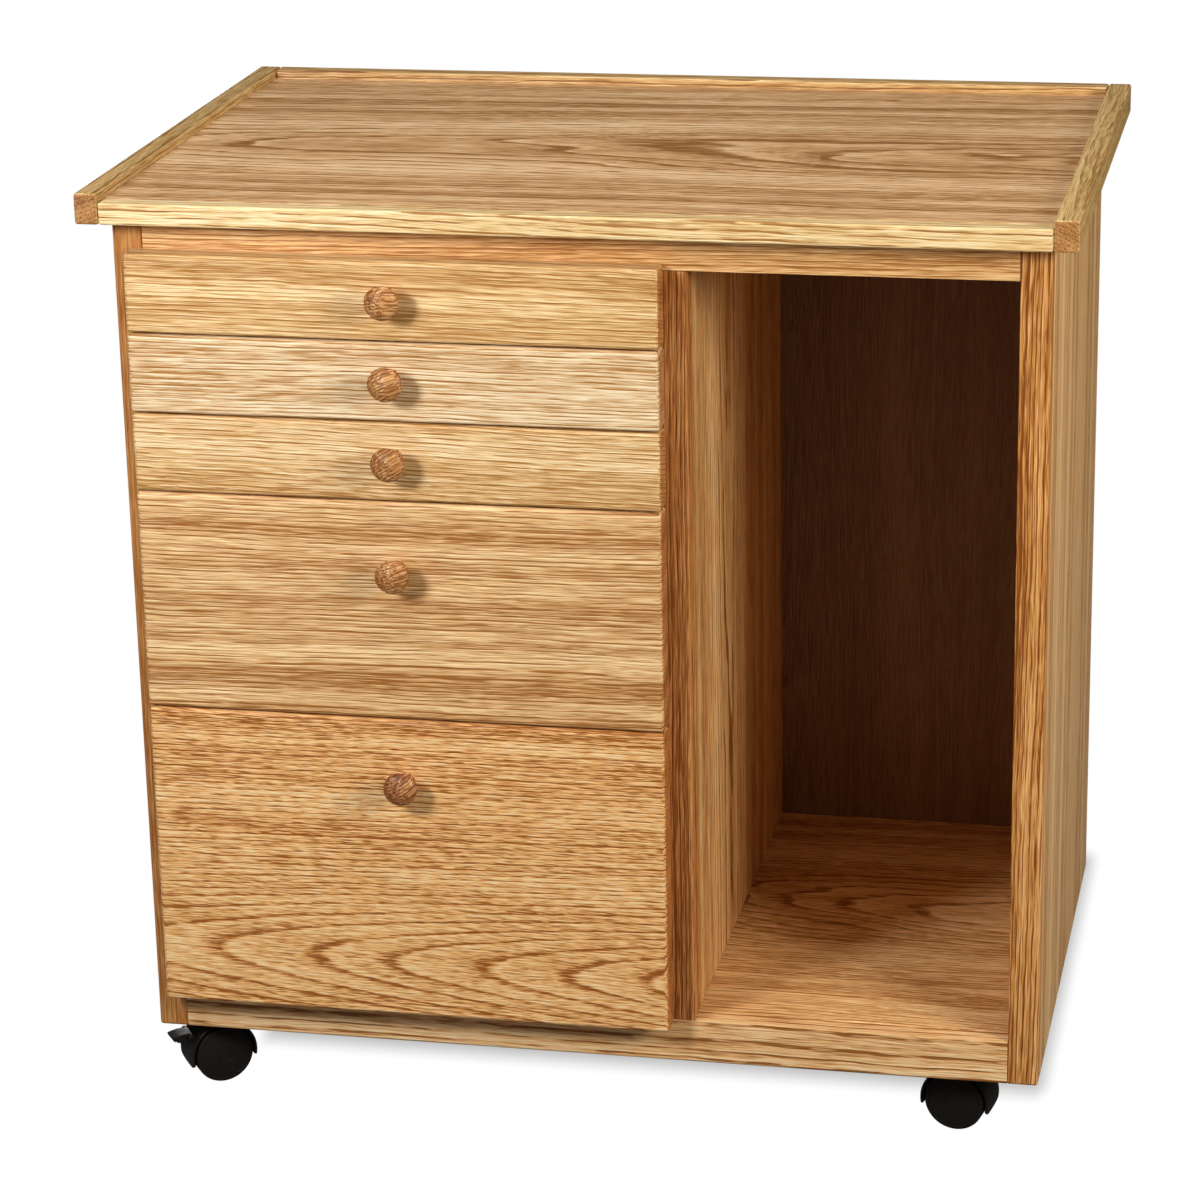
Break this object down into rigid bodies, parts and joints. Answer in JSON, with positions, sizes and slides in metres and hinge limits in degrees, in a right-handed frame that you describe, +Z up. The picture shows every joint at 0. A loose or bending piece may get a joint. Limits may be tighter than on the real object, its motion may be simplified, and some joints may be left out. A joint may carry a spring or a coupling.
{
  "type": "art taboret",
  "caption": "Oak art taboret on twin-wheel casters: a stack of drawers beside a tall open bay, under an overhanging top with a raised lip.",
  "frame": {"origin": "on the floor, at the middle of the whole object's footprint", "axes": "+Z up; the drawers face and open towards -Y; +X is to the viewer's right, where the open bay is"},
  "size_m": [0.806, 0.5608, 0.8045],
  "materials": {
    "oak_front": "clear satin lacquer on natural red oak with straight and cathedral grain",
    "oak_frame": "clear satin lacquer on solid red oak",
    "oak_panel": "clear satin lacquer on oak veneered panel, grain upright",
    "oak_top": "clear satin lacquer on oak veneer, grain along the width",
    "oak_edging": "clear satin lacquer on solid oak strip, end grain showing at the front",
    "knob_oak": "turned oak under clear satin lacquer",
    "drawer_wood": "pale sanded hardwood with a thin sealer",
    "plywood": "thin oak-faced plywood under a thin sealer",
    "caster_plastic": "black moulded nylon, slightly glossy"
  },
  "bodies": {
    "cabinet": {"left_side_panel": "oak_panel", "right_side_panel": "oak_panel", "bottom_panel": "oak_panel", "divider_panel": "oak_panel", "back_panel": "plywood", "left_stile": "oak_frame", "right_stile": "oak_frame", "divider_stile": "oak_frame", "top_rail": "oak_frame", "bottom_rail": "oak_frame", "left_edging": "oak_edging", "right_edging": "oak_edging", "back_edging": "oak_edging", "front_edging": "oak_edging", "top_panel": "oak_top", "front_caster_rail": "drawer_wood", "rear_caster_rail": "drawer_wood", "runner_1_left": "drawer_wood", "runner_1_right": "drawer_wood", "runner_2_left": "drawer_wood", "runner_2_right": "drawer_wood", "runner_3_left": "drawer_wood", "runner_3_right": "drawer_wood", "runner_4_left": "drawer_wood", "runner_4_right": "drawer_wood", "runner_5_left": "drawer_wood", "runner_5_right": "drawer_wood"},
    "drawer_1": {"drawer_1_front": "oak_front", "drawer_1_box": "drawer_wood", "drawer_1_bottom": "plywood", "drawer_1_knob": "knob_oak"},
    "drawer_2": {"drawer_2_front": "oak_front", "drawer_2_box": "drawer_wood", "drawer_2_bottom": "plywood", "drawer_2_knob": "knob_oak"},
    "drawer_3": {"drawer_3_front": "oak_front", "drawer_3_box": "drawer_wood", "drawer_3_bottom": "plywood", "drawer_3_knob": "knob_oak"},
    "drawer_4": {"drawer_4_front": "oak_front", "drawer_4_box": "drawer_wood", "drawer_4_bottom": "plywood", "drawer_4_knob": "knob_oak"},
    "drawer_5": {"drawer_5_front": "oak_front", "drawer_5_box": "drawer_wood", "drawer_5_bottom": "plywood", "drawer_5_knob": "knob_oak"},
    "caster_front_left": {"caster_front_left_housing": "caster_plastic"},
    "caster_front_left_wheel_a": {"caster_front_left_wheel_a": "caster_plastic"},
    "caster_front_left_wheel_b": {"caster_front_left_wheel_b": "caster_plastic"},
    "caster_front_left_brake": {"caster_front_left_brake_lever": "caster_plastic"},
    "caster_front_right": {"caster_front_right_housing": "caster_plastic"},
    "caster_front_right_wheel_a": {"caster_front_right_wheel_a": "caster_plastic"},
    "caster_front_right_wheel_b": {"caster_front_right_wheel_b": "caster_plastic"},
    "caster_rear_left": {"caster_rear_left_housing": "caster_plastic"},
    "caster_rear_left_wheel_a": {"caster_rear_left_wheel_a": "caster_plastic"},
    "caster_rear_left_wheel_b": {"caster_rear_left_wheel_b": "caster_plastic"},
    "caster_rear_right": {"caster_rear_right_housing": "caster_plastic"},
    "caster_rear_right_wheel_a": {"caster_rear_right_wheel_a": "caster_plastic"},
    "caster_rear_right_wheel_b": {"caster_rear_right_wheel_b": "caster_plastic"}
  },
  "joints": [
    {"name": "drawer_1_slide", "type": "slide", "parent": "cabinet", "child": "drawer_1", "axis": [0, -1, 0], "range_m": [0, 0.33]},
    {"name": "drawer_2_slide", "type": "slide", "parent": "cabinet", "child": "drawer_2", "axis": [0, -1, 0], "range_m": [0, 0.33]},
    {"name": "drawer_3_slide", "type": "slide", "parent": "cabinet", "child": "drawer_3", "axis": [0, -1, 0], "range_m": [0, 0.33]},
    {"name": "drawer_4_slide", "type": "slide", "parent": "cabinet", "child": "drawer_4", "axis": [0, -1, 0], "range_m": [0, 0.33]},
    {"name": "drawer_5_slide", "type": "slide", "parent": "cabinet", "child": "drawer_5", "axis": [0, -1, 0], "range_m": [0, 0.33]},
    {"name": "caster_front_left_swivel", "type": "hinge", "parent": "cabinet", "child": "caster_front_left", "pos_m": [-0.3275, -0.1823, 0.062], "axis": [0, 0, 1], "continuous": true},
    {"name": "caster_front_left_wheel_a_spin", "type": "hinge", "parent": "caster_front_left", "child": "caster_front_left_wheel_a", "pos_m": [-0.33493, -0.20099, 0.026], "axis": [-0.5878, 0.809, 0], "continuous": true},
    {"name": "caster_front_left_wheel_b_spin", "type": "hinge", "parent": "caster_front_left", "child": "caster_front_left_wheel_b", "pos_m": [-0.34757, -0.1836, 0.026], "axis": [-0.5878, 0.809, 0], "continuous": true},
    {"name": "caster_front_left_brake_press", "type": "hinge", "parent": "caster_front_left", "child": "caster_front_left_brake", "pos_m": [-0.36359, -0.20852, 0.04462], "axis": [0.5878, -0.809, 0], "range_deg": [0, 14]},
    {"name": "caster_front_right_swivel", "type": "hinge", "parent": "cabinet", "child": "caster_front_right", "pos_m": [0.3275, -0.1823, 0.062], "axis": [0, 0, 1], "continuous": true},
    {"name": "caster_front_right_wheel_a_spin", "type": "hinge", "parent": "caster_front_right", "child": "caster_front_right_wheel_a", "pos_m": [0.3088, -0.18971, 0.026], "axis": [0.1857, 0.9826, 0], "continuous": true},
    {"name": "caster_front_right_wheel_b_spin", "type": "hinge", "parent": "caster_front_right", "child": "caster_front_right_wheel_b", "pos_m": [0.31279, -0.16858, 0.026], "axis": [0.1857, 0.9826, 0], "continuous": true},
    {"name": "caster_rear_left_swivel", "type": "hinge", "parent": "cabinet", "child": "caster_rear_left", "pos_m": [-0.3275, 0.2161, 0.062], "axis": [0, 0, 1], "continuous": true},
    {"name": "caster_rear_left_wheel_a_spin", "type": "hinge", "parent": "caster_rear_left", "child": "caster_rear_left_wheel_a", "pos_m": [-0.34139, 0.20156, 0.026], "axis": [-0.2419, 0.9703, 0], "continuous": true},
    {"name": "caster_rear_left_wheel_b_spin", "type": "hinge", "parent": "caster_rear_left", "child": "caster_rear_left_wheel_b", "pos_m": [-0.3466, 0.22242, 0.026], "axis": [-0.2419, 0.9703, 0], "continuous": true},
    {"name": "caster_rear_right_swivel", "type": "hinge", "parent": "cabinet", "child": "caster_rear_right", "pos_m": [0.3275, 0.2161, 0.062], "axis": [0, 0, 1], "continuous": true},
    {"name": "caster_rear_right_wheel_a_spin", "type": "hinge", "parent": "caster_rear_right", "child": "caster_rear_right_wheel_a", "pos_m": [0.3076, 0.21319, 0.026], "axis": [0.4067, 0.9135, 0], "continuous": true},
    {"name": "caster_rear_right_wheel_b_spin", "type": "hinge", "parent": "caster_rear_right", "child": "caster_rear_right_wheel_b", "pos_m": [0.31634, 0.23284, 0.026], "axis": [0.4067, 0.9135, 0], "continuous": true}
  ]
}
